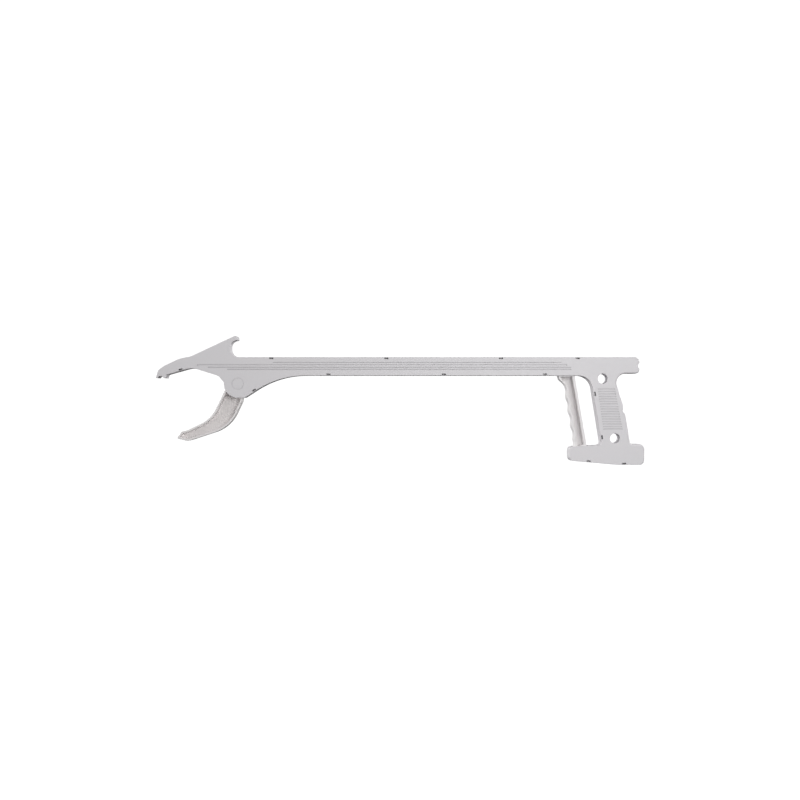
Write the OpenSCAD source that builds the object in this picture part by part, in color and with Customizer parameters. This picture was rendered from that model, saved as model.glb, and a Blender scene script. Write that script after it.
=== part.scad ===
// Reacher grabber: a long moulded two-half body with a fixed upper jaw, a swinging lower jaw,
// a pull rod and a trigger. X runs from the jaws to the grip, Z is up, Y is across the body.
// The origin is the centre of the upper hole through the grip, on the parting plane.

/* [Body] */
// Thickness of the body across both halves
body_t = 22; // [21.8:0.1:26]
// Wall of the shells
wall = 2; // [1.6:0.1:2]
// Height of the barrel's top edge
barrel_top = 30.5; // [30:0.1:31.5]
// Height of the barrel's bottom edge
barrel_low = 4.4; // [4:0.1:4.6]
// Radius of the two holes through the grip
grip_hole_r = 7; // [5:0.5:8]
// Radius of the round hub over the jaw pivot
hub_r = 19.7; // [19.4:0.1:20.5]
// Radius of the hook throat behind the fin
throat_r = 11.2; // [10:0.1:11.4]

/* [Jaw] */
// Swing of the lower jaw from open to closed, in degrees
jaw_swing = 44; // [30:1:44]
// Width of the lower jaw
jaw_w = 17.2; // [16:0.1:17.4]
// Rim left round the jaw's recess
jaw_rim = 2.6; // [2:0.1:3.5]
// Floor left behind the jaw's recess
jaw_floor = 2.2; // [1.5:0.1:4]
// Distance from the jaw pivot to its link pin
crank_r = 24; // [23:0.1:24.5]

/* [Trigger] */
// Width of the trigger
trigger_w = 17.2; // [16:0.1:17.4]
// Lean of the trigger at rest, in degrees
trigger_lean = 9.7; // [9:0.1:10]
// Spacing of the finger scallops
finger_pitch = 20.6; // [19:0.1:21]
// Depth of the finger scallops
finger_depth = 1.8; // [1:0.1:2.4]
// Front wall of the trigger's channel
trigger_front_wall = 2.8; // [2:0.1:3]
// Rear wall of the trigger's channel
trigger_rear_wall = 3.5; // [2:0.1:4]

/* [Pins, rod and spring] */
// Radius of the jaw pivot pin
jaw_pin_r = 3; // [2.5:0.1:3.5]
// Radius of the trigger pivot pin
trigger_pin_r = 2.5; // [2:0.1:3]
// Radius of the two link pins
link_pin_r = 2; // [1.5:0.1:2.2]
// Radius of the pull rod
rod_r = 1.75; // [1.5:0.05:2]
// Mean radius of the return spring
spring_r = 4.1; // [3.6:0.1:5]
// Radius of the spring's wire
wire_r = 0.4; // [0.3:0.05:0.6]
// Turns of the spring
spring_turns = 15; // [9:1:17]

/* [Surface details] */
// Depth of the grooves in the barrel and the grip
groove_d = 0.8; // [0.3:0.1:0.9]
// Spacing of the grip's ribs
rib_pitch = 3.5; // [3:0.1:4]
// Number of grooves between the grip's ribs
rib_count = 17; // [12:1:17]
// Length of a snap window
window_l = 5.6; // [5:0.1:8]
// Width of a snap window
window_w = 2.1; // [2:0.1:2.6]

/* [Hidden] */
$fn = 64;
half_t = body_t / 2;
inner_t = half_t - wall;
sag = 0.03;              // how far an arc's chords may stand off the arc
play = 0.05;             // radial clearance of a pin in the bore that turns on it
seat = 0.02;             // radial clearance of a pin in the bore that holds it

// Where the joints are, as [x, z]
jaw_pivot = [-511, -7];
trigger_pivot = [-31, -104];
crank_a = jaw_swing / 2;
jaw_link = jaw_pivot + crank_r * [-sin(crank_a), cos(crank_a)];
rod_z = jaw_pivot[1] + crank_r * (1 + cos(crank_a)) / 2;
trigger_link = [trigger_pivot[0] - 16.9, rod_z - 0.6];

// Corners of the body that its snap hooks are measured from, as [x, z]
hub_left = jaw_pivot[0] - hub_r;
hub_low = jaw_pivot[1] - hub_r;
foot_low = -120.6;
beak_root = [-610.9, 5.7];
nose_end = [-575.3, 15.7];
hub_rear = [-501.6, hub_low];
barrel_front = [-453.6, barrel_low];
grip_top = [-16.7, barrel_low];
grip_foot = [-1.2, -93];
foot_front = [-47.3, -114.7];
foot_bend = [19.2, foot_low];

// Body outline, anticlockwise from the tip of the beak, as [x, z, corner radius]
throat_x = -510.7 - throat_r;
throat_top = barrel_top + 23.4;
foot_end = 58.6;
foot_top = -91.6;
horn_x = 51.7;
function corner(at, r) = [at[0], at[1], r];
beak_teeth = [
    [-626.3, 0.9, 1], [-623.4, 0.9, 0.8], [-621.9, 3.5, 0.8], [-616.2, 3.8, 0.8],
    [-614.9, 0.9, 0.8], [-612.5, 0.9, 0.8], corner(beak_root, 1.2)];
beak_core = [[-620, 3.3, 1]];
body_corners = [
    corner(nose_end, 28), [-538.5, 4.2, 8], [hub_left, -4.8, 3.6],
    [hub_left, hub_low, hub_r], corner(hub_rear, 4), corner(barrel_front, 125),
    corner(grip_top, 20), corner(grip_foot, 4.5),
    [foot_front[0], -95, 5.5], corner(foot_front, 6), corner(foot_bend, 40),
    [foot_end, foot_low, 6.5], [foot_end, foot_top, 7], [38.7, foot_top, 3.5],
    [32, -49.8, 3], [28.6, -45.6, 2.5], [28.8, -37, 10],
    [14.8, 7.3, 13], [horn_x, 7.3, 5.5], [horn_x, 14.2, 2],
    [horn_x - 1.6, 16.2, 2], [horn_x - 1.6, 20.6, 2], [horn_x, 22.4, 2],
    [horn_x, barrel_top, 7],
    [throat_x, barrel_top, throat_r], [throat_x, throat_top, 9.2],
    [-511.6, throat_top, 0.8], [-512.4, throat_top + 7.8, 3],
    [-577.6, 31.2, 30], [-593, 28.4, 40], [-614.5, 18.2, 12], [-622.7, 12.2, 7]];

// Lower jaw outline, anticlockwise from its tip
jaw_corners = [
    [-597.3, -83.6, 1.5], [-581, -87.4, 14], [-522.4, -68.2, 52], [-505.4, -31.4, 3],
    [-503.5, -14, 3], [-526, -8.8, 3], [-549.2, -56.4, 46], [-582.5, -72.3, 15],
    [-590.2, -73.8, 2.2]];
jaw_hub_r = 15.5;
jaw_boss_r = 7;          // shell bosses that hold the pivot pin, sunk in the jaw's hub
trigger_boss_r = 5.5;
boss_y = 6;              // how near the parting plane the bosses come
boss_gap = 0.4;          // between a boss and the sinking round it
root_y = half_t - 0.5;   // where bosses, tubes and ribs end, inside the shell's wall
pin_y = inner_t + 0.7;   // where the pivot pins end, inside the shell's wall
mouth_a = [160, 296];    // open part of the hub's rim, in degrees round the pivot
mouth_r = [17.5, 34];

// Trigger outline in its own axes: x forwards to the grip, z up, from its pivot
back_x = 10.5;
trigger_floor = 2;       // left behind the trigger's channel
peak_x = -5.6;
first_peak = 18.8;
last_valley = first_peak + 3.5 * finger_pitch;
lip_r = 17.7;
lip_end = 50;
function finger_x(z) = peak_x + finger_depth * (1 - cos(360 * (z - first_peak) / finger_pitch)) / 2;
function front_edge(shift) = concat(
    [for (a = [lip_end : -10 : 0])
        [finger_x(last_valley) - lip_r * (1 - cos(a)) + shift, last_valley + lip_r * sin(a)]],
    [for (z = [last_valley - 1.6 : -1.6 : first_peak - 4]) [finger_x(z) + shift, z]]);

// Openings for the trigger in the barrel's bottom and the foot's top, as [x from, x to]
barrel_slot = [-66, -21.2];
foot_slot = [-42.6, -18.8];

// Snap hooks and their windows, as [x, z, direction of the edge in degrees]
function on_edge(from, to, d) =
    let (a = atan2(to[1] - from[1], to[0] - from[0]))
    [from[0] + d * cos(a), from[1] + d * sin(a), a];
catches = concat(
    [for (x = [-464, -303, -142.5, -35]) [x, barrel_top, 180]],
    [for (x = [-384, -222.5, -81]) [x, barrel_low, 0]],
    [for (d = [26, 87.5]) on_edge(grip_top, grip_foot, d)],
    [on_edge(foot_front, foot_bend, 27.5), [30, foot_low, 0],
     on_edge(hub_rear, barrel_front, 17), on_edge(beak_root, nose_end, 21)]);
hook_y = [2.2, 4];       // where a hook's head is, in front of the parting plane
hook_l = 3;              // length of a hook along its edge
hook_gap = 0.1;          // between a hook's stem and the front shell's wall
hook_t = 1.1;            // thickness of the stem
hook_root = 4;           // how far the stem reaches behind the parting plane
window_edge = 0.8;       // what is left between a window and the body's edge

// Barrel grooves, as [z, width, left end, right end]
grooves = [[22.9, 0.6, -462, -58], [19.3, 2, -568, -50], [15.9, 1.2, -553, -44],
           [13.1, 1.2, -526, -44]];
hub_ring = [7.4, 8.6];
ring_d = 0.35;

// Grip: its two holes, and the grooves between its ribs from the top one to the lowest one
grip_holes = [[0, 0], [17.1, -83.4]];
tube_wall = 1.8;
rib_top = -14.5;
rib_gap = 1.6;
top_groove = [-7, 17];
low_groove = [1, 27.5];

// Rod, ribs and spring along X
rod_ribs = [-430, -350, -265, -180];
seat_x = -90;
rib_t = 1.6;
spring_l = 46;
spring_end = seat_x - rib_t / 2 - 0.05;
rod_span = [-502, -66];
collar_l = 4.5;
guide_gap = 0.45;
slot_gap = 0.25;
slot_rise = 1.25;        // half the rise of a link pin, plus clearance

// Half widths across the body, and radii, of the parts that the link pins join
crank_y = 6.4;
eye_y = 2.8;
clevis_y = 6;
tang_y = 2.5;
lever_end_r = 5;         // ends of the jaw's crank and of the trigger's tang
link_end_r = 5.6;        // ends of the two links

// Unit vector from a to b
function way(a, b) = (b - a) / norm(b - a);
function xz(c) = [c[0], c[1]];
function before(c, i) = way(xz(c[(i + len(c) - 1) % len(c)]), xz(c[i]));
function after(c, i) = way(xz(c[i]), xz(c[(i + 1) % len(c)]));

// Corners moved inwards by d: outer corners tighten, inner corners keep their radius
function inset(c, d) = [for (i = [0 : len(c) - 1])
    let (u = before(c, i), v = after(c, i),
         q = xz(c[i]) + d / (1 + u * v) * [-u[1] - v[1], u[0] + v[0]])
    [q[0], q[1], max(c[i][2] - max(sign(cross(u, v)), 0) * d, 0.4)]];

// Points of an outline with every corner rounded to its radius
function rounded(c) = [for (i = [0 : len(c) - 1])
    let (u = before(c, i), v = after(c, i), r = c[i][2], s = sign(cross(u, v)),
         turn = acos(min(u * v, 1)),
         centre = xz(c[i]) - u * r * tan(turn / 2) + s * r * [-u[1], u[0]],
         k = max(1, ceil(turn / (2 * acos(1 - sag / r)))))
    for (j = [0 : k])
        let (b = s * turn * j / k)
        centre + s * r * [u[1] * cos(b) + u[0] * sin(b), u[1] * sin(b) - u[0] * cos(b)]];

// Extrudes an outline drawn in x and z from y = y0 to y = y1
module slab(y0, y1) {
    translate([0, y1, 0]) rotate([90, 0, 0]) linear_extrude(y1 - y0) children();
}

// The same on one side of the parting plane: side is -1 for the front and 1 for the rear
module half_slab(side, from, to) {
    slab(min(side * from, side * to), max(side * from, side * to)) children();
}

module disc(at, r) {
    translate(at) circle(r);
}

module plate(x, z) {
    translate([x[0], z[0]]) square([x[1] - x[0], z[1] - z[0]]);
}

module body_outline() {
    polygon(rounded(concat(beak_teeth, body_corners)));
}

// The hollow inside the walls, which stops short of the beak's teeth
module hollow_outline() {
    polygon(rounded(inset(concat(beak_core, body_corners), wall)));
}

// The ring between two radii and two directions round the jaw pivot
module mouth() {
    translate(jaw_pivot) difference() {
        polygon(concat([[0, 0]], [for (a = [mouth_a[0] : 8 : mouth_a[1]])
            mouth_r[1] * [cos(a), sin(a)]]));
        circle(mouth_r[0]);
    }
}

// Places a drawing at a catch: x along the edge, y inwards from it
module at_catch(c) {
    translate([c[0], c[1]]) rotate(c[2]) children();
}

module grip_grooves(side) {
    for (i = [0 : rib_count - 1])
        let (k = i / (rib_count - 1), z = rib_top - i * rib_pitch)
        half_slab(side, half_t - groove_d, half_t + 1)
            plate(top_groove * (1 - k) + low_groove * k, [z - rib_gap / 2, z + rib_gap / 2]);
}

module barrel_grooves(side) {
    for (g = grooves)
        half_slab(side, half_t - groove_d, half_t + 1)
            plate([g[2], g[3]], [g[0] - g[1] / 2, g[0] + g[1] / 2]);
}

module shell(side) {
    difference() {
        union() {
            difference() {
                half_slab(side, 0, half_t) body_outline();
                half_slab(side, -1, inner_t) hollow_outline();
            }
            half_slab(side, 0, root_y)
                for (at = grip_holes) disc(at, grip_hole_r + tube_wall);
            half_slab(side, boss_y, root_y) {
                disc(jaw_pivot, jaw_boss_r);
                disc(trigger_pivot, trigger_boss_r);
            }
            half_slab(side, 0, root_y)
                for (x = concat(rod_ribs, [seat_x]))
                    plate([x - rib_t / 2, x + rib_t / 2], [barrel_low + 1, barrel_top - 1]);
        }
        half_slab(side, -1, half_t + 1)
            for (at = grip_holes) disc(at, grip_hole_r);
        half_slab(side, -1, pin_y + 0.1) {
            disc(jaw_pivot, jaw_pin_r + seat);
            disc(trigger_pivot, trigger_pin_r + seat);
        }
        half_slab(side, -1, inner_t) {
            mouth();
            plate(barrel_slot, [-1, barrel_low + wall + 0.1]);
            plate(foot_slot, [-97, -91]);
        }
        translate([rod_ribs[0] - 5, 0, rod_z]) rotate([0, 90, 0])
            cylinder(r = rod_r + guide_gap, h = seat_x - rod_ribs[0] + 10);
        half_slab(side, half_t - ring_d, half_t + 1)
            difference() {
                disc(jaw_pivot, hub_ring[1]);
                disc(jaw_pivot, hub_ring[0]);
            }
        barrel_grooves(side);
        grip_grooves(side);
    }
}

module front_shell() {
    color("gainsboro") difference() {
        shell(-1);
        half_slab(-1, hook_y[0] - 0.3, half_t + 1)
            for (c = catches)
                at_catch(c)
                    plate([-window_l / 2, window_l / 2], [window_edge, window_edge + window_w]);
    }
}

// Snap hook: a stem inside the front wall, its root in the rear wall, and its head in the window
module hook(c) {
    along = [-hook_l / 2, hook_l / 2];
    back = wall + hook_gap + hook_t;
    slab(-hook_y[1], 0) at_catch(c) plate(along, [wall + hook_gap, back]);
    slab(0, hook_root) at_catch(c) plate(along, [wall - 0.5, back]);
    slab(-hook_y[1], -hook_y[0]) at_catch(c) plate(along, [wall - 0.9, wall + 0.2]);
}

module rear_shell() {
    color("gainsboro") {
        shell(1);
        for (c = catches) hook(c);
    }
}

// Crank arm from the jaw's hub up to its link pin
module crank_outline() {
    disc(jaw_link, lever_end_r);
    translate(jaw_pivot) rotate(crank_a) plate([-lever_end_r, lever_end_r], [0, crank_r]);
}

module lower_jaw() {
    color("silver") difference() {
        union() {
            slab(-jaw_w / 2, jaw_w / 2) {
                polygon(rounded(jaw_corners));
                disc(jaw_pivot, jaw_hub_r);
            }
            slab(-crank_y, crank_y) crank_outline();
        }
        slab(-jaw_w, jaw_w / 2 - jaw_floor) difference() {
            polygon(rounded(inset(jaw_corners, jaw_rim)));
            disc(jaw_pivot, jaw_hub_r + 1.5);
        }
        slab(-eye_y - 0.3, eye_y + 0.3) translate(jaw_pivot) rotate(crank_a)
            plate([-12, 12], [jaw_hub_r - 0.2, crank_r + 8]);
        for (side = [-1, 1])
            half_slab(side, boss_y - boss_gap, jaw_w) disc(jaw_pivot, jaw_boss_r + boss_gap);
        slab(-jaw_w, jaw_w) disc(jaw_pivot, jaw_pin_r + play);
        slab(-jaw_w, jaw_w) disc(jaw_link, link_pin_r + seat);
    }
}

module trigger_outline() {
    polygon(concat(
        rounded([[-8, -8, 7.9], [8, -8, 7.9], [back_x, 13, 4], [back_x, 110.2, 1.5],
                 [-11.8, 114.1, 1.5], [-11.8, 108, 0.5]]),
        front_edge(0)));
}

module trigger() {
    color("silver") difference() {
        union() {
            slab(-trigger_w / 2, trigger_w / 2)
                translate(trigger_pivot) rotate(trigger_lean) trigger_outline();
            slab(-tang_y, tang_y) {
                disc(trigger_link, lever_end_r);
                polygon([trigger_link + [-9, -11], trigger_link + [7, -11],
                         trigger_link + [lever_end_r, 0], trigger_link - [lever_end_r, 0]]);
            }
        }
        slab(-trigger_w, trigger_w / 2 - trigger_floor)
            translate(trigger_pivot) rotate(trigger_lean)
                polygon(concat([[-2, 9.4], [back_x - trigger_rear_wall, 11],
                                [back_x - trigger_rear_wall, 107.6],
                                [finger_x(last_valley) - 5.5, 109.8]],
                               front_edge(trigger_front_wall)));
        for (side = [-1, 1])
            half_slab(side, boss_y - boss_gap, trigger_w)
                disc(trigger_pivot, trigger_boss_r + boss_gap);
        slab(-trigger_w, trigger_w) disc(trigger_pivot, trigger_pin_r + play);
        slab(-trigger_w, trigger_w) disc(trigger_link, link_pin_r + seat);
    }
}

module along_x(from, to, r) {
    translate([from, 0, rod_z]) rotate([0, 90, 0]) cylinder(r = r, h = to - from);
}

module pull_rod() {
    color("dimgray") along_x(rod_span[0], rod_span[1], rod_r);
}

// Upright slot that lets a link pin rise a little as its lever swings
module pin_slot(x) {
    disc([x, rod_z - slot_rise], link_pin_r + slot_gap);
    disc([x, rod_z + slot_rise], link_pin_r + slot_gap);
    plate([x - link_pin_r - slot_gap, x + link_pin_r + slot_gap],
          [rod_z - slot_rise, rod_z + slot_rise]);
}

module front_link() {
    x = jaw_link[0];
    color("whitesmoke") difference() {
        slab(-eye_y, eye_y) {
            disc([x, rod_z], link_end_r);
            plate([x, rod_span[0] + 16], [rod_z - 3.6, rod_z + 3.6]);
        }
        slab(-crank_y, crank_y) pin_slot(x);
        along_x(rod_span[0], rod_span[0] + 20, rod_r + seat);
    }
}

module rear_link() {
    x = trigger_link[0];
    color("whitesmoke") difference() {
        slab(-clevis_y, clevis_y) {
            disc([x, rod_z], link_end_r);
            plate([rod_span[1] - 14, x], [rod_z - link_end_r, rod_z + link_end_r]);
        }
        slab(-clevis_y - 1, clevis_y + 1) pin_slot(x);
        slab(-tang_y - 0.4, tang_y + 0.4) plate([x - 9.6, x + 8], [rod_z - 9, rod_z + 9]);
        along_x(rod_span[1] - 20, rod_span[1], rod_r + seat);
    }
}

module spring_collar() {
    end = spring_end - spring_l;
    color("dimgray") difference() {
        along_x(end - collar_l - 0.05, end - 0.05, spring_r + 1.4);
        along_x(end - collar_l - 1, end + 1, rod_r + seat);
    }
}

// Compression spring with one and a quarter nearly closed turns at each end
spring_steps = 16;
spring_sides = 8;
shut_turns = 1.25;
shut_pitch = 2 * wire_r + 0.15;
open_turns = spring_turns - 2 * shut_turns;
open_pitch = (spring_l - 2 * wire_r - 2 * shut_turns * shut_pitch) / open_turns;
function spring_x(t) =
    wire_r + shut_pitch * (min(t, shut_turns) + max(t - spring_turns + shut_turns, 0))
        + open_pitch * max(0, min(t - shut_turns, open_turns));
function spring_ring(t) = [for (k = [0 : spring_sides - 1])
    let (b = 360 * k / spring_sides, r = spring_r + wire_r * cos(b))
    [spring_x(t) + wire_r * sin(b), r * cos(360 * t), r * sin(360 * t)]];

module return_spring() {
    last = spring_turns * spring_steps;
    m = spring_sides;
    points = [for (i = [0 : last]) for (p = spring_ring(i / spring_steps)) p];
    sides = [for (i = [0 : last - 1]) for (k = [0 : m - 1])
        [i * m + k, i * m + (k + 1) % m, (i + 1) * m + (k + 1) % m, (i + 1) * m + k]];
    ends = [[for (k = [m - 1 : -1 : 0]) k], [for (k = [0 : m - 1]) last * m + k]];
    color("lightsteelblue") translate([spring_end - spring_l, 0, rod_z])
        polyhedron(points = points, faces = concat(sides, ends), convexity = 10);
}

module pin(at, r, reach) {
    slab(-reach, reach) disc(at, r);
}

module jaw_pivot_pin() {
    color("lightsteelblue") pin(jaw_pivot, jaw_pin_r, pin_y);
}

module trigger_pivot_pin() {
    color("lightsteelblue") pin(trigger_pivot, trigger_pin_r, pin_y);
}

module jaw_link_pin() {
    color("lightsteelblue") pin(jaw_link, link_pin_r, crank_y);
}

module trigger_link_pin() {
    color("lightsteelblue") pin(trigger_link, link_pin_r, clevis_y);
}

front_shell();
rear_shell();
lower_jaw();
trigger();
pull_rod();
front_link();
rear_link();
spring_collar();
return_spring();
jaw_pivot_pin();
trigger_pivot_pin();
jaw_link_pin();
trigger_link_pin();
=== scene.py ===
"""Looks for the reacher grabber: a long moulded two-half body with a hinged lower jaw and a trigger.

The CAD nodes set every shape and size. Each moulded node is copied, its flat faces are merged and
its edges are rounded, and the copy stands for the node. The spring is coiled anew, at the node's size.
"""

import math

import bmesh
import bpy
import numpy as np
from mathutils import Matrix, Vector
from mathutils.geometry import delaunay_2d_cdt


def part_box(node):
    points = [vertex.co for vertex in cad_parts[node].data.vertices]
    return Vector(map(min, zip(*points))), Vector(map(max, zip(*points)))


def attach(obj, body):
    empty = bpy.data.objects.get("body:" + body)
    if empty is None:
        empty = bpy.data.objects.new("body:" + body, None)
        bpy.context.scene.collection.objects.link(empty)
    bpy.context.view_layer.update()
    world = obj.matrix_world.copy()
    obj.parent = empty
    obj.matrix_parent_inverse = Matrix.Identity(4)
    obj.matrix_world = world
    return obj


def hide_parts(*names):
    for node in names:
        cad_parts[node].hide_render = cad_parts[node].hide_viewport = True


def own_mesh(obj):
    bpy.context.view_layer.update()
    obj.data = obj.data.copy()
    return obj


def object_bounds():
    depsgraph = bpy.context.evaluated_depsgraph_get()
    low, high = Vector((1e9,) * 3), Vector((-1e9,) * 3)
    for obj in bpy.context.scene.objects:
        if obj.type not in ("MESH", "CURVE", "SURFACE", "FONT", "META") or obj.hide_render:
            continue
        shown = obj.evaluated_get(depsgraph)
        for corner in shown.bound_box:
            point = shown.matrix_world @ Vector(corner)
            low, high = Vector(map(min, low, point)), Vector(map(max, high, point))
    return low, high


MM = 0.001

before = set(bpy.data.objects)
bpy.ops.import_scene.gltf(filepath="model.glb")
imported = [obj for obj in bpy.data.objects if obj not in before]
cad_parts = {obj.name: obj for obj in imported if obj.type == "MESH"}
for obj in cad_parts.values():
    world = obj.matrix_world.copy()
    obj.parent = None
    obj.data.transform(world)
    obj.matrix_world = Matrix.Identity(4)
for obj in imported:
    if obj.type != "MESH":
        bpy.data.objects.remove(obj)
cad_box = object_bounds()
scene = bpy.context.scene


def colour(r, g, b):
    """A linear colour from the eight-bit sRGB one."""
    def linear(c):
        c = c / 255
        return c / 12.92 if c <= 0.04045 else ((c + 0.055) / 1.055) ** 2.4
    return (linear(r), linear(g), linear(b), 1.0)


# ---------------------------------------------------------------- materials


class Nodes:
    """A material's node tree, with short calls to add and join its nodes."""

    def __init__(self, name):
        self.material = bpy.data.materials.new(name)
        self.material.use_nodes = True
        self.tree = self.material.node_tree
        self.shader = self.tree.nodes["Principled BSDF"]
        self.place = self.add("ShaderNodeTexCoord").outputs["Object"]

    def add(self, kind, **settings):
        node = self.tree.nodes.new(kind)
        for key, value in settings.items():
            setattr(node, key, value)
        return node

    def join(self, output, target):
        self.tree.links.new(output, target)

    def noise(self, size, detail=2.0, stretch=(1, 1, 1)):
        """Noise whose features are about size metres across, in the object's own space."""
        spread = self.add("ShaderNodeMapping")
        spread.inputs["Scale"].default_value = stretch
        node = self.add("ShaderNodeTexNoise")
        node.inputs["Scale"].default_value = 1 / size
        node.inputs["Detail"].default_value = detail
        self.join(self.place, spread.inputs["Vector"])
        self.join(spread.outputs["Vector"], node.inputs["Vector"])
        return node.outputs["Fac"]

    def spread(self, value, low, high, start=0.0, end=1.0):
        """value from start to end, mapped to low to high."""
        node = self.add("ShaderNodeMapRange")
        for key, number in (("From Min", start), ("From Max", end), ("To Min", low), ("To Max", high)):
            node.inputs[key].default_value = number
        self.join(value, node.inputs["Value"])
        return node.outputs["Result"]

    def mix(self, factor, first, second):
        """A colour between two, each a colour or an output."""
        node = self.add("ShaderNodeMix", data_type="RGBA")
        for key, value in ((0, factor), (6, first), (7, second)):
            if isinstance(value, (tuple, float)):
                node.inputs[key].default_value = value
            else:
                self.join(value, node.inputs[key])
        return node.outputs[2]

    def hollows(self, reach, inside=False):
        """1 in the open and less in a hollow narrower than reach, or at an outer edge with inside."""
        node = self.add("ShaderNodeAmbientOcclusion", samples=8, inside=inside)
        node.inputs["Distance"].default_value = reach
        return node.outputs["AO"]

    def bump(self, layers):
        """Layers of (height output, depth in metres), one on another."""
        normal = None
        for height, depth in layers:
            node = self.add("ShaderNodeBump")
            node.inputs["Strength"].default_value = 1.0
            node.inputs["Distance"].default_value = depth
            self.join(height, node.inputs["Height"])
            if normal:
                self.join(normal, node.inputs["Normal"])
            normal = node.outputs["Normal"]
        self.join(normal, self.shader.inputs["Normal"])


def moulded(name, base, rough, grain, warmth, hollow_shade):
    """Injection moulded plastic: a fine grain, faint flow marks, rubbed edges and painted shade in hollows.

    grain is the size of the grain in metres, warmth a factor on red, and the last factor scales the colour
    of the painted shade in hollows.
    """
    n = Nodes(name)
    # The darker colour used for the painted shade in hollows.
    shade_colour = tuple(c * hollow_shade for c in base[:3]) + (1.0,)
    pale = tuple(min(1.0, c * 1.035) for c in base[:3]) + (1.0,)
    warm = (base[0] * warmth, base[1], base[2] / warmth, 1.0)
    flow = n.spread(n.noise(60 * MM, 3, (0.35, 1, 1)), 0, 1, 0.35, 0.65)
    tone = n.mix(flow, base, warm)
    speckle = n.spread(n.noise(1.1 * MM, 2), 0, 0.5, 0.45, 0.75)
    tone = n.mix(speckle, tone, pale)
    # Painted shade: ambient occlusion darkens the colour in hollows and grooves, standing in for the shade
    # that falls there.
    painted_shade = n.spread(n.hollows(1.5 * MM), 1, 0, 0.3, 0.95)
    tone = n.mix(painted_shade, tone, shade_colour)
    rubbed = n.spread(n.hollows(0.8 * MM, inside=True), 0.6, 0, 0.35, 0.85)
    n.join(n.mix(rubbed, tone, pale), n.shader.inputs["Base Color"])
    sheen = n.spread(n.noise(9 * MM, 3), rough - 0.05, rough + 0.06, 0.3, 0.7)
    n.join(sheen, n.shader.inputs["Roughness"])
    n.shader.inputs["IOR"].default_value = 1.49
    n.shader.inputs["Specular IOR Level"].default_value = 0.42
    waves, pits, dots = n.noise(140 * MM, 1), n.noise(grain, 3), n.noise(0.16 * MM, 1)
    n.bump([(waves, 0.25 * MM), (pits, 0.022 * MM), (dots, 0.006 * MM)])
    return n.material


def steel(name, base, rough, stretch):
    """Bright steel with fine lines, drawn out along the axis where stretch is small, and slight dulling."""
    n = Nodes(name)
    n.shader.inputs["Metallic"].default_value = 1.0
    lines = n.noise(0.25 * MM, 4, stretch)
    dull = n.spread(n.noise(6 * MM, 3), 0, 1, 0.35, 0.7)
    dark = tuple(c * 0.8 for c in base[:3]) + (1.0,)
    n.join(n.mix(dull, base, dark), n.shader.inputs["Base Color"])
    n.join(n.spread(lines, rough, rough + 0.18, 0.3, 0.7), n.shader.inputs["Roughness"])
    n.bump([(lines, 0.004 * MM)])
    return n.material


SHELL = moulded("shell_plastic", colour(230, 228, 231), 0.44, 0.5 * MM, 1.006, 0.6)
# Painted light: the jaw's and trigger's colours are made lighter than the shell's, and their painted shade
# in hollows weaker, to offset the shade in their deep recesses; from other sides they look lighter than the
# shell.
JAW = moulded("jaw_plastic", colour(245, 242, 242), 0.46, 0.5 * MM, 1.010, 0.95)
TRIGGER = moulded("trigger_plastic", colour(243, 241, 242), 0.46, 0.5 * MM, 1.010, 0.95)
LINK = moulded("link_plastic", colour(238, 236, 228), 0.38, 0.9 * MM, 1.012, 0.8)
STEEL = steel("steel", colour(196, 198, 202), 0.24, (0.03, 1, 1))
SPRING = steel("spring_steel", colour(176, 178, 184), 0.22, (1, 1, 1))

# ---------------------------------------------------------------- moulded parts

SHARP = math.radians(30)  # an edge that turns more than this stays sharp
FLAT = math.radians(0.5)  # faces that turn less than this at an edge are one flat face
SAME_PLACE = 2e-6  # metres between vertices that are one


def smooth_step(value, start, end):
    t = min(1, max(0, (value - start) / (end - start)))
    return t * t * (3 - 2 * t)


def depth_of(face):
    """How far a face reaches across the body, in metres."""
    ys = [v.co.y for v in face.verts]
    return max(ys) - min(ys)


def flats_at(bm, y, way):
    """The faces that lie across Y at y and face that way, 1 or -1."""
    return [f for f in bm.faces if f.normal.y * way > 0.99 and abs(f.verts[0].co.y - y) < 0.02 * MM]


def regions_of(flats):
    """Splits flat faces into lists of faces that meet at edges."""
    left = set(flats)
    regions = []
    while left:
        region = [left.pop()]
        for face in region:
            near = {f for e in face.edges for f in e.link_faces} & left
            left -= near
            region.extend(near)
        regions.append(region)
    return regions


def loops_round(flats):
    """The boundary loops of some flat faces, each a list of (vertex, face).

    The face is the one across the boundary edge that starts at the vertex.
    """
    inside = set(flats)
    after = {}
    for face in flats:
        for loop in face.loops:
            beyond = [f for f in loop.edge.link_faces if f not in inside]
            if beyond:
                after[loop.vert] = (loop.link_loop_next.vert, beyond[0])
    loops = []
    while after:
        vertex = next(iter(after))
        loop = []
        while vertex in after:
            following, beyond = after.pop(vertex)
            loop.append((vertex, beyond))
            vertex = following
        loops.append(loop)
    return loops


def hole_span(loop, out):
    """The X range of a loop that goes round a hole, or None for one round the outside."""
    points = [v.co for v, _ in loop]
    area = sum(a.cross(b).dot(out) for a, b in zip(points, points[1:] + points[:1]))
    xs = [p.x for p in points]
    return (min(xs), max(xs)) if area < 0 else None


def cleaned(node):
    """A bmesh of a CAD node with its flat faces merged back from triangles."""
    bm = bmesh.new()
    bm.from_mesh(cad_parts[node].data)
    bmesh.ops.remove_doubles(bm, verts=bm.verts, dist=SAME_PLACE)
    bmesh.ops.dissolve_limit(bm, angle_limit=FLAT, verts=bm.verts, edges=bm.edges)
    bm.normal_update()
    return bm


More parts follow.
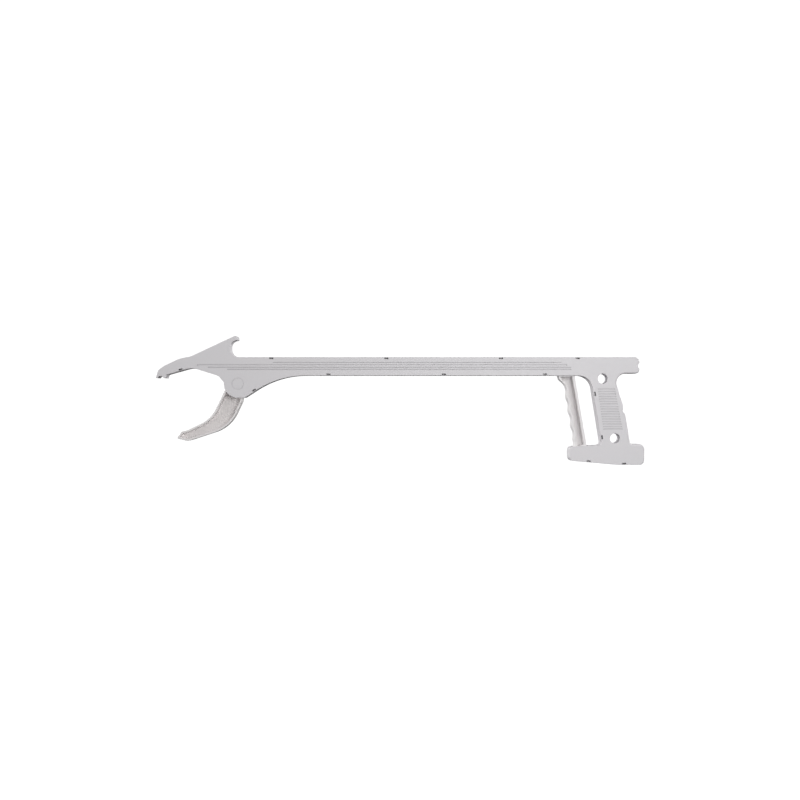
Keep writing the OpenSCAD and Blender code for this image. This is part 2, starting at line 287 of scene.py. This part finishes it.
def radii_round(loop, out, wanted):
    """(radius before, radius after, inward normal before, inward normal after) at each vertex of a loop.

    A radius is small enough for the curve it is on, and changes slowly along the loop. The two radii
    differ only at a sharp corner.
    """
    count = len(loop)
    ends = [loop[(i + 1) % count][0].co - v.co for i, (v, _) in enumerate(loop)]
    inward = [out.cross(e).normalized() for e in ends]
    asked = [wanted(v.co + e / 2, beyond) for (v, beyond), e in zip(loop, ends)]
    turn = [inward[i - 1].angle(inward[i]) for i in range(count)]
    soft = []
    for i in range(count):
        radius = min(asked[i - 1], asked[i])
        if turn[i] > math.radians(1) and inward[i - 1].cross(inward[i]).dot(out) > 0:
            radius = min(radius, 0.4 * (ends[i - 1].length + ends[i].length) / turn[i])
        soft.append(None if turn[i] > SHARP else radius)
    twice_round = [*range(count)] * 2
    for i in twice_round + twice_round[::-1]:
        near = [(soft[i - 1], ends[i - 1].length), (soft[(i + 1) % count], ends[i].length)]
        for radius, length in near:
            if soft[i] is not None and radius is not None:
                soft[i] = min(soft[i], radius + 0.25 * length)
    result = []
    for i in range(count):
        if soft[i] is None:
            last, following = soft[i - 1], soft[(i + 1) % count]
            pair = (asked[i - 1] if last is None else min(last, asked[i - 1]),
                    asked[i] if following is None else min(following, asked[i]))
        else:
            pair = (soft[i], soft[i])
        result.append((*pair, inward[i - 1], inward[i]))
    return result


def reach_of(before, after, inward_before, inward_after):
    """How a corner moves in its plane when the edges before and after it move in by two distances."""
    c = inward_before.dot(inward_after)
    if before == after:
        return (inward_before + inward_after) * (before / (1 + c))
    return (inward_before * (before - c * after) + inward_after * (after - c * before)) / (1 - c * c)


def unfolded(loop, radii):
    """Makes radii smaller wherever an edge would turn round on its way in."""
    edges = [loop[(i + 1) % len(loop)][0].co - v.co for i, (v, _) in enumerate(loop)]
    folded = True
    while folded:
        reach = [reach_of(*corner) for corner in radii]
        folded = set()
        for i, edge in enumerate(edges):
            j = (i + 1) % len(loop)
            if (edge + reach[j] - reach[i]).dot(edge) < 0.1 * edge.length_squared:
                folded.update((i, j))
        for i in folded:
            before, after, *inward = radii[i]
            radii[i] = (0.8 * before, 0.8 * after, *inward)
    return radii


def inside(x, z, starts, ends):
    """Whether a point is inside an odd number of the loops that edges make."""
    across = (starts[:, 1] > z) != (ends[:, 1] > z)
    run, rise = (ends - starts).T
    right = (run * (z - starts[:, 1]) - rise * (x - starts[:, 0])) * np.sign(rise) > 0
    return np.count_nonzero(across & right) % 2 == 1


def fill(bm, loops, out):
    """Fills loops of vertices that lie across Y, the ones inside others being holes."""
    verts = [v for loop in loops for v in loop]
    edges = []
    for loop in loops:
        start = len(edges)
        edges += [(start + i, start + (i + 1) % len(loop)) for i in range(len(loop))]
    flat = [Vector((v.co.x, v.co.z)) / MM for v in verts]
    starts, ends = (np.array([flat[edge[i]] for edge in edges]) for i in (0, 1))
    triangles_inside, tolerance = 1, 1e-4
    points, _, faces, sources, _, _ = delaunay_2d_cdt(flat, edges, [], triangles_inside, tolerance)
    y = verts[0].co.y
    placed = [verts[source[0]] if source else bm.verts.new((point.x * MM, y, point.y * MM))
              for point, source in zip(points, sources)]
    made = set()
    for face in faces:
        x, z = sum((points[i] for i in face), Vector((0, 0))) / 3
        if inside(x, z, starts, ends):
            ring = [placed[i] for i in face]
            made.add(bm.faces.new(ring if out.y < 0 else ring[::-1]))
    bm.normal_update()
    between = [e for e in bm.edges if len(e.link_faces) == 2 and all(f in made for f in e.link_faces)]
    bmesh.ops.dissolve_limit(bm, angle_limit=FLAT, verts=[], edges=between)


def round_off(bm, flats, wanted, steps=4):
    """Rounds the boundary of a flat region.

    wanted(place, face beyond, hole span) is the radius in metres, or 0 to leave the edge sharp.
    """
    out = flats[0].normal.copy()
    loops = loops_round(flats)
    chain = {}
    for loop in loops:
        span = hole_span(loop, out)
        radii = unfolded(loop, radii_round(loop, out, lambda place, beyond: wanted(place, beyond, span)))
        for (v, _), corner in zip(loop, radii):
            depth = max(corner[:2])
            if depth == 0:
                continue
            reach = reach_of(*corner)
            start = v.co.copy()
            chain[v] = [v]
            for k in range(1, steps + 1):
                a = math.pi / 2 * k / steps
                place = start + reach * (1 - math.cos(a)) - out * depth * (1 - math.sin(a))
                chain[v].append(bm.verts.new(place))
            v.co = start - out * depth
    for loop in loops:
        for i, (v, _) in enumerate(loop):
            end = loop[(i + 1) % len(loop)][0]
            first, second = chain.get(v, [v] * (steps + 1)), chain.get(end, [end] * (steps + 1))
            for k in range(steps):
                ring = list(dict.fromkeys([first[k], second[k], second[k + 1], first[k + 1]]))
                if len(ring) > 2:
                    bm.faces.new(ring)
    bmesh.ops.delete(bm, geom=flats, context="FACES")
    fill(bm, [[chain[v][-1] if v in chain else v for v, _ in loop] for loop in loops], out)


def stand_in(node, body, material, bm):
    """Makes a smooth-shaded piece of a bmesh, in the place of a CAD node."""
    bm.normal_update()
    for face in bm.faces:
        face.smooth = True
    for edge in bm.edges:
        edge.smooth = len(edge.link_faces) == 2 and edge.calc_face_angle() < SHARP
    mesh = bpy.data.meshes.new(node + "_moulding")
    bm.to_mesh(mesh)
    bm.free()
    mesh.materials.append(material)
    piece = bpy.data.objects.new(node + "_moulding", mesh)
    scene.collection.objects.link(piece)
    normals = piece.modifiers.new("flat faces stay flat", "WEIGHTED_NORMAL")
    normals.keep_sharp = True
    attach(piece, body)
    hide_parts(node)
    return piece


def moulding(node, body, material, planes):
    """Copies a CAD node, rounds its edges, and stands it in for the node.

    planes gives (y in metres, the way that plane faces, wanted radius) for each plane to round.
    """
    bm = cleaned(node)
    for y, way, wanted in planes:
        for region in regions_of(flats_at(bm, y, way)):
            round_off(bm, region, wanted)
    stand_in(node, body, material, bm)


def turned(node, body, material):
    """Copies a CAD node that is round about X, and bevels its ends."""
    bm = cleaned(node)
    rims = [e for e in bm.edges
            if e.calc_face_angle() > SHARP and abs(e.verts[0].co.x - e.verts[1].co.x) < SAME_PLACE]
    bmesh.ops.bevel(
        bm, geom=rims, offset=0.25 * MM, segments=2, profile=0.5, affect="EDGES", clamp_overlap=True)
    stand_in(node, body, material, bm)


def shell_rim(place, beyond, hole):
    """Slight on a shell's outline, and fuller on the back of the grip and the foot's ends.

    The walls of the grooves are shallow, and of the holes only the grip's two are wide.
    """
    if depth_of(beyond) < 1 * MM:
        return 0.15 * MM
    if hole:
        return 0.9 * MM if hole[1] - hole[0] > 10 * MM else 0.0
    grip = smooth_step(place.x + 0.25 * place.z, 4 * MM, 14 * MM)
    toe = smooth_step(-place.x, 40 * MM, 45 * MM) if place.z < -90 * MM else 0
    return (0.6 + 1.8 * max(grip, toe)) * MM


def seam_rim(place, beyond, hole):
    """The shells' meeting edges are eased only on the outside, where the walls are deepest."""
    return 0.2 * MM if depth_of(beyond) > 9.5 * MM and not hole else 0.0


def lever_rim(place, beyond, hole):
    return 0.35 * MM if hole else 0.7 * MM


def eased(place, beyond, hole):
    return 0.25 * MM


def both_faces(node, rim):
    """The planes to round on a node that has the same rims in front and behind."""
    low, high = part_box(node)
    return [(low.y, -1, rim), (high.y, 1, rim)]


front, back = cad_box[0].y, cad_box[1].y
moulding("front_shell", "housing", SHELL, [(front, -1, shell_rim), (0, 1, seam_rim)])
moulding("rear_shell", "housing", SHELL, [(back, 1, shell_rim), (0, -1, seam_rim)])
moulding("lower_jaw", "jaw", JAW, both_faces("lower_jaw", lever_rim))
moulding("trigger", "lever", TRIGGER, both_faces("trigger", lever_rim))
for node in ("front_link", "rear_link"):
    moulding(node, "rod", LINK, both_faces(node, eased))
for node, body in (("jaw_pivot_pin", "housing"), ("trigger_pivot_pin", "housing"),
                   ("jaw_link_pin", "jaw"), ("trigger_link_pin", "lever")):
    moulding(node, body, STEEL, both_faces(node, eased))
for node in ("pull_rod", "spring_collar"):
    turned(node, "rod", STEEL)

# ---------------------------------------------------------------- return spring

WIRE_R = 0.4 * MM
TURNS, SHUT_TURNS, SHUT_PITCH = 15, 1.25, 0.95 * MM


def coil(low, high, steps=40, sides=12):
    """A bmesh of a compression spring with closed ends that fills a box along X."""
    middle = (low + high) / 2
    mean_r = (high.z - low.z) / 2 - WIRE_R
    pitch = (high.x - low.x - 2 * WIRE_R - 2 * SHUT_TURNS * SHUT_PITCH) / (TURNS - 2 * SHUT_TURNS)
    bm = bmesh.new()
    rings = []
    for i in range(TURNS * steps + 1):
        t = i / steps
        shut = min(t, SHUT_TURNS) + max(t - TURNS + SHUT_TURNS, 0)
        x = low.x + WIRE_R + SHUT_PITCH * shut + pitch * (t - shut)
        ring = []
        for k in range(sides):
            b = 2 * math.pi * k / sides
            r = mean_r + WIRE_R * math.cos(b)
            ring.append(bm.verts.new((
                x + WIRE_R * math.sin(b),
                middle.y + r * math.cos(2 * math.pi * t),
                middle.z + r * math.sin(2 * math.pi * t))))
        rings.append(ring)
    for ring, following in zip(rings, rings[1:]):
        for k in range(sides):
            j = (k + 1) % sides
            bm.faces.new((ring[k], ring[j], following[j], following[k]))
    bm.faces.new(rings[0][::-1])
    bm.faces.new(rings[-1])
    bmesh.ops.recalc_face_normals(bm, faces=bm.faces)
    return bm


low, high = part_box("return_spring")
spring = stand_in("return_spring", "housing", SPRING, coil(low, high))
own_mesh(spring)

# ---------------------------------------------------------------- camera, light and floor

camera = bpy.data.objects.new("camera", bpy.data.cameras.new("camera"))
camera.location = (-0.2839, -1.476, -0.0297)
camera.rotation_euler = (math.radians(90), 0, 0)
camera.data.sensor_width = 36
camera.data.lens = 47.09
scene.collection.objects.link(camera)
scene.camera = camera


def soft_light(name, place, target, size, power):
    lamp = bpy.data.lights.new(name, "AREA")
    lamp.shape = "DISK"
    lamp.size = size
    lamp.energy = power
    holder = bpy.data.objects.new(name, lamp)
    holder.location = place
    holder.rotation_euler = (Vector(target) - Vector(place)).to_track_quat("-Z", "Y").to_euler()
    scene.collection.objects.link(holder)


soft_light("key", (0.03, -1.25, 0.15), (-0.1, 0, -0.03), 0.6, 6.1)
soft_light("left", (-2.9, -1.0, 0.3), (-0.2, 0, -0.03), 1.2, 18)
soft_light("right", (1.5, -0.6, 0.5), (-0.1, 0, -0.03), 1.0, 3)
soft_light("back_left", (-2.3, 1.5, 0.5), (-0.2, 0, -0.03), 1.2, 27)
soft_light("back_right", (1.2, 2.0, 0.6), (-0.2, 0, -0.03), 1.2, 11)

# The room is dim below, bright above and brighter to the left and right. The backdrop is white.
scene.world = bpy.data.worlds.new("studio")
scene.world.use_nodes = True
tree = scene.world.node_tree
background = tree.nodes["Background"]
background.inputs["Color"].default_value = (1, 1, 1, 1)
direction = tree.nodes.new("ShaderNodeSeparateXYZ")
tree.links.new(tree.nodes.new("ShaderNodeTexCoord").outputs["Generated"], direction.inputs["Vector"])
above = tree.nodes.new("ShaderNodeMapRange")
for key, number in (("From Min", -0.25), ("From Max", 0.1), ("To Min", 0.08), ("To Max", 0.46)):
    above.inputs[key].default_value = number
tree.links.new(direction.outputs["Z"], above.inputs["Value"])


def arithmetic(operation, *values):
    node = tree.nodes.new("ShaderNodeMath")
    node.operation = operation
    for value, target in zip(values, node.inputs):
        if isinstance(value, float):
            target.default_value = value
        else:
            tree.links.new(value, target)
    return node.outputs["Value"]


aside = arithmetic("MULTIPLY", direction.outputs["X"], direction.outputs["X"])
sides = arithmetic("MULTIPLY_ADD", aside, 1.6, 0.65)
seen = tree.nodes.new("ShaderNodeMix")
tree.links.new(tree.nodes.new("ShaderNodeLightPath").outputs["Is Camera Ray"], seen.inputs["Factor"])
tree.links.new(arithmetic("MULTIPLY", above.outputs["Result"], sides), seen.inputs["A"])
seen.inputs["B"].default_value = 1.1
tree.links.new(seen.outputs["Result"], background.inputs["Strength"])

floor_mesh = bpy.data.meshes.new("floor")
floor_mesh.from_pydata([(-6, -6, 0), (6, -6, 0), (6, 6, 0), (-6, 6, 0)], [], [(0, 1, 2, 3)])
floor = bpy.data.objects.new("floor", floor_mesh)
floor.location.z = cad_box[0].z - 0.35
paint = bpy.data.materials.new("floor_paint")
paint.use_nodes = True
for key, value in (("Base Color", (0.9, 0.9, 0.9, 1)), ("Roughness", 0.9),
                   ("Emission Color", (1, 1, 1, 1)), ("Emission Strength", 0.8)):
    paint.node_tree.nodes["Principled BSDF"].inputs[key].default_value = value
floor_mesh.materials.append(paint)
scene.collection.objects.link(floor)
floor.visible_diffuse = False
floor.visible_glossy = False

scene.view_settings.view_transform = "Standard"
